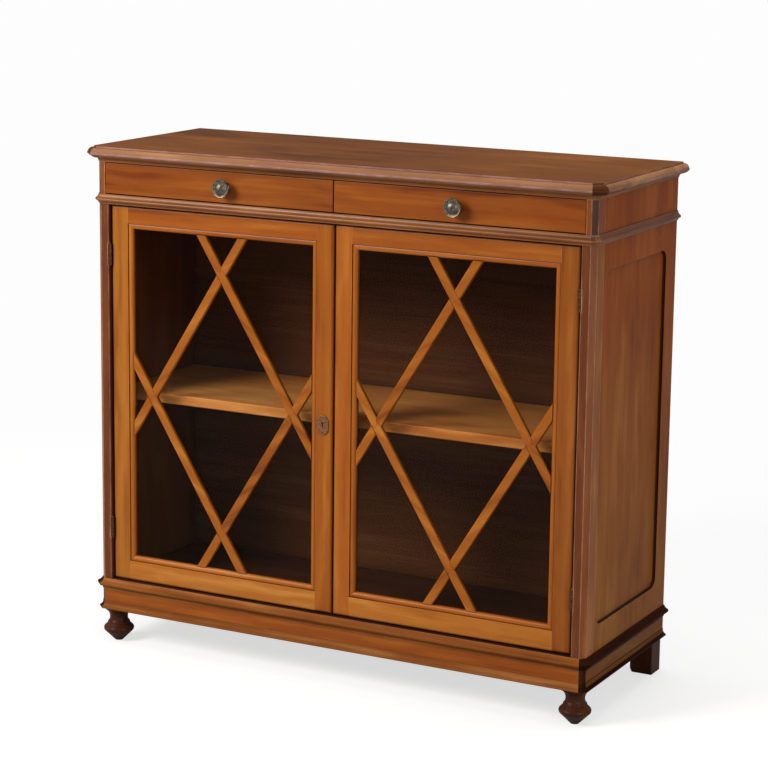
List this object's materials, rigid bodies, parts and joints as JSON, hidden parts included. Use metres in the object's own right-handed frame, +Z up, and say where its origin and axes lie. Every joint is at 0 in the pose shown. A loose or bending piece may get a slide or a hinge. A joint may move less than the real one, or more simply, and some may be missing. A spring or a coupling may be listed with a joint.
{
  "type": "low glazed bookcase",
  "caption": "Low wooden bookcase with glazed lattice doors under frieze drawers, canted front corners, a moulded top and turned front feet.",
  "frame": {"origin": "on the floor, under the middle of the whole box", "axes": "+Z up, the doors and drawers face -Y, +X to the right as seen from the front"},
  "size_m": [1.1, 0.42, 1.004],
  "materials": {
    "top_wood": "satin",
    "front_wood": "satin",
    "moulding_wood": "satin",
    "side_wood": "satin",
    "dark_wood": "satin",
    "lattice_wood": "satin",
    "inner_wood": "matt",
    "glass": "clear",
    "bronze": "antique",
    "hinge_brass": "satin",
    "steel": "satin"
  },
  "bodies": {
    "carcass": {"back_panel": "inner_wood", "back_rail": "inner_wood", "base_moulding": "moulding_wood", "bottom_board": "inner_wood", "corner_blocks": "inner_wood", "cornice": "moulding_wood", "door_stops": "inner_wood", "drawer_divider": "inner_wood", "dust_board": "inner_wood", "front_foot_left": "dark_wood", "front_foot_right": "dark_wood", "lower_moulding": "moulding_wood", "mid_moulding": "moulding_wood", "plinth_back": "inner_wood", "plinth_front": "front_wood", "plinth_sides": "front_wood", "post_hinge_leaves": "hinge_brass", "post_left": "dark_wood", "post_right": "dark_wood", "rear_feet": "inner_wood", "shelf": "inner_wood", "shelf_pins": "steel", "side_left": "side_wood", "side_right": "side_wood", "top_board": "top_wood"},
    "left_door": {"left_door_back_bead": "front_wood", "left_door_bottom_rail": "front_wood", "left_door_front_bead": "moulding_wood", "left_door_glass": "glass", "left_door_hinge_leaves": "hinge_brass", "left_door_hinge_pins": "hinge_brass", "left_door_hinge_stile": "front_wood", "left_door_key_plate": "bronze", "left_door_lattice": "lattice_wood", "left_door_lock_case": "steel", "left_door_meeting_stile": "front_wood", "left_door_top_rail": "front_wood"},
    "right_door": {"right_door_back_bead": "front_wood", "right_door_bolt_plate": "steel", "right_door_bottom_rail": "front_wood", "right_door_front_bead": "moulding_wood", "right_door_glass": "glass", "right_door_hinge_leaves": "hinge_brass", "right_door_hinge_pins": "hinge_brass", "right_door_hinge_stile": "front_wood", "right_door_lattice": "lattice_wood", "right_door_meeting_stile": "front_wood", "right_door_top_rail": "front_wood"},
    "left_drawer": {"left_drawer_back": "inner_wood", "left_drawer_bottom": "inner_wood", "left_drawer_front": "front_wood", "left_drawer_knob": "bronze", "left_drawer_sides": "inner_wood"},
    "right_drawer": {"right_drawer_back": "inner_wood", "right_drawer_bottom": "inner_wood", "right_drawer_front": "front_wood", "right_drawer_knob": "bronze", "right_drawer_sides": "inner_wood"},
    "lock_bolt": {"lock_bolt": "steel"},
    "door_bolt": {"door_bolt": "steel"}
  },
  "joints": [
    {"name": "left_door_hinge", "type": "hinge", "parent": "carcass", "child": "left_door", "pos_m": [-0.4995, -0.181, 0.5125], "axis": [0, 0, -1], "range_deg": [0, 110]},
    {"name": "right_door_hinge", "type": "hinge", "parent": "carcass", "child": "right_door", "pos_m": [0.4995, -0.181, 0.5125], "axis": [0, 0, 1], "range_deg": [0, 110]},
    {"name": "left_drawer_slide", "type": "slide", "parent": "carcass", "child": "left_drawer", "axis": [0, -1, 0], "range_m": [0, 0.26]},
    {"name": "right_drawer_slide", "type": "slide", "parent": "carcass", "child": "right_drawer", "axis": [0, -1, 0], "range_m": [0, 0.26]},
    {"name": "lock_bolt_slide", "type": "slide", "parent": "left_door", "child": "lock_bolt", "axis": [1, 0, 0], "range_m": [0, 0.008]},
    {"name": "door_bolt_slide", "type": "slide", "parent": "right_door", "child": "door_bolt", "axis": [0, 0, 1], "range_m": [0, 0.01]}
  ]
}
